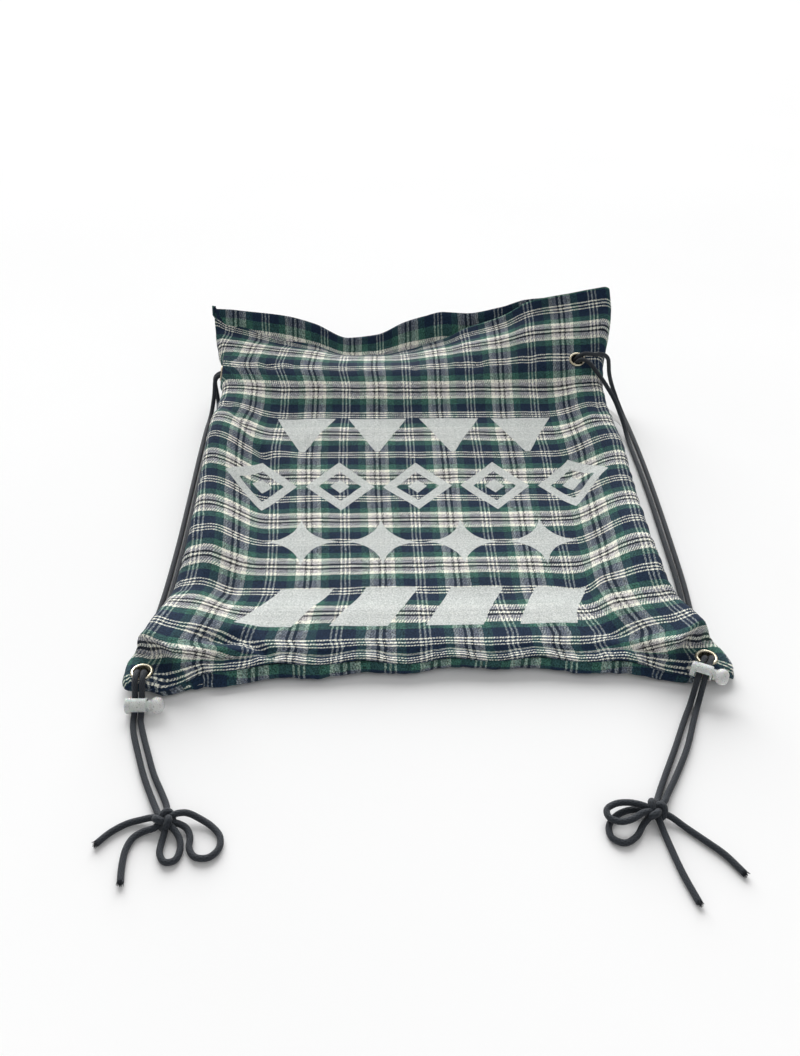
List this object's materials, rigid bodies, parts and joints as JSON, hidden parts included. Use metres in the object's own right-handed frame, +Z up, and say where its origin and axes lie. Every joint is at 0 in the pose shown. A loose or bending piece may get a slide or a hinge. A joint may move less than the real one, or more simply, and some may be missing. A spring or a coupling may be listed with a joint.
{
  "type": "drawstring gym bag",
  "caption": "Flat drawstring bag in checked cloth, lying on its back, with corner grommets, paired cords, sliding cord locks and bow-tied ends.",
  "frame": {"origin": "centre of the bag's own box (cloth, rings and locks, without the cords) on the surface that it lies on", "axes": "+Z up from the surface; +Y from the bottom seam to the mouth; +X to the wearer's side that carries the care label"},
  "size_m": [0.3479, 0.5393, 0.0849],
  "materials": {
    "front_cloth": "brushed checked flannel",
    "back_cloth": "brushed checked flannel",
    "ring_metal": "pale plated",
    "cord": "round woven",
    "lock_plastic": "translucent",
    "label_cloth": "satin ribbon, blank"
  },
  "bodies": {
    "bag": {"front_panel": "front_cloth", "back_panel": "back_cloth", "grommet_left": "ring_metal", "grommet_right": "ring_metal", "eyelet_left": "ring_metal", "eyelet_right": "ring_metal", "lock_barrel_left": "lock_plastic", "lock_barrel_right": "lock_plastic", "care_label": "label_cloth", "knot_left": "cord", "knot_right": "cord", "cord_left_a": "cord", "cord_left_b": "cord", "cord_right_a": "cord", "cord_right_b": "cord", "bow_left_loop_a": "cord", "bow_left_loop_b": "cord", "bow_left_end_a": "cord", "bow_left_end_b": "cord", "bow_right_loop_a": "cord", "bow_right_loop_b": "cord", "bow_right_end_a": "cord", "bow_right_end_b": "cord"},
    "plunger_left": {"lock_plunger_left": "lock_plastic"},
    "plunger_right": {"lock_plunger_right": "lock_plastic"}
  },
  "joints": [
    {"name": "press_left", "type": "slide", "parent": "bag", "child": "plunger_left", "axis": [-1, 0, 0], "range_m": [0, 0.0015], "stiffness_N_per_m": 400, "springref_m": -0.0015},
    {"name": "press_right", "type": "slide", "parent": "bag", "child": "plunger_right", "axis": [-0.893, 0.45, 0], "range_m": [0, 0.0015], "stiffness_N_per_m": 400, "springref_m": -0.0015}
  ]
}
